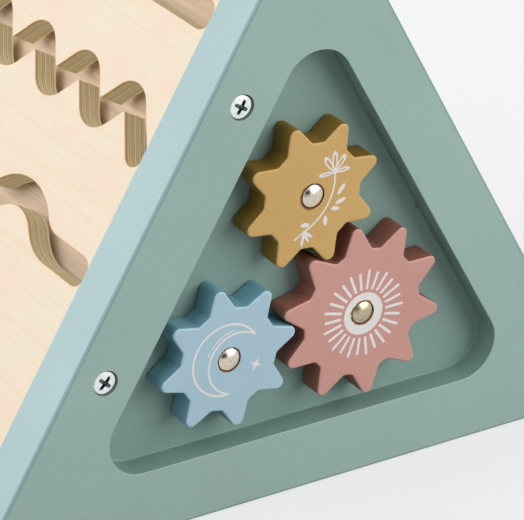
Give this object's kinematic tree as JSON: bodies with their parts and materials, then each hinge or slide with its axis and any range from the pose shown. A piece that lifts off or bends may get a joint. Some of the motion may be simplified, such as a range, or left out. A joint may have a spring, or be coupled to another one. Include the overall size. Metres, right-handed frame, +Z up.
{
  "type": "wooden activity triangle",
  "caption": "Triangular wooden activity toy with a sunk train of toothed wheels on one end and a plywood slope with sliding knobs in cut tracks.",
  "frame": {"origin": "middle of the footprint, on the floor", "axes": "+Z up, +Y from the end panel with the wheels to the rear end panel, +X to the right as seen from the front"},
  "size_m": [0.2324, 0.2019, 0.2045],
  "materials": {
    "sage_paint": "matt grey green lacquer on wood board",
    "plywood": "bare pale plywood, lightly sealed",
    "board": "bare thin board",
    "ochre_paint": "matt ochre lacquer on wood",
    "rose_paint": "matt dusty rose lacquer on wood",
    "blue_paint": "matt pale blue lacquer on wood",
    "steel": "plain zinc plated steel",
    "beech": "bare turned beech"
  },
  "bodies": {
    "housing": {"front_ring": "sage_paint", "front_plate": "sage_paint", "rear_panel": "sage_paint", "track_panel": "plywood", "side_panel": "plywood", "base_panel": "plywood", "backing_board": "board", "lower_strip": "board", "upper_strip": "board", "upper_axle": "steel", "right_axle": "steel", "left_axle": "steel", "front_screw_low": "steel", "front_screw_high": "steel", "rear_screw_low": "steel", "rear_screw_high": "steel", "side_dowels": "beech", "base_dowels": "beech"},
    "upper_wheel": {"upper_wheel": "ochre_paint"},
    "right_wheel": {"right_wheel": "rose_paint"},
    "left_wheel": {"left_wheel": "blue_paint"},
    "line_slider": {"line_knob": "ochre_paint", "line_peg": "beech", "line_disc": "beech"},
    "zigzag_slider": {"zigzag_knob": "rose_paint", "zigzag_peg": "beech", "zigzag_disc": "beech"},
    "wave_slider": {"wave_knob": "blue_paint", "wave_peg": "beech", "wave_disc": "beech"}
  },
  "joints": [
    {"name": "right_spin", "type": "hinge", "parent": "housing", "child": "right_wheel", "pos_m": [0.0219, -0.095, 0.0598], "axis": [0, 1, 0], "continuous": true},
    {"name": "upper_spin", "type": "hinge", "parent": "housing", "child": "upper_wheel", "pos_m": [0.00069, -0.095, 0.107], "axis": [0, 1, 0], "continuous": true},
    {"name": "left_spin", "type": "hinge", "parent": "housing", "child": "left_wheel", "pos_m": [-0.0297, -0.095, 0.05592], "axis": [0, 1, 0], "continuous": true},
    {"name": "line_slide", "type": "slide", "parent": "housing", "child": "line_slider", "axis": [0, -1, 0], "range_m": [0, 0.1354]},
    {"name": "zigzag_slide", "type": "slide", "parent": "housing", "child": "zigzag_slider", "axis": [-0.3754, -0.6604, -0.6503], "range_m": [0, 0.01558]},
    {"name": "wave_slide", "type": "slide", "parent": "housing", "child": "wave_slider", "axis": [0, -1, 0], "range_m": [0, 0.0179]}
  ],
  "couplings": [
    {"joint": "upper_spin", "follows": "right_spin", "ratio": -1.25},
    {"joint": "left_spin", "follows": "right_spin", "ratio": -1.25}
  ]
}
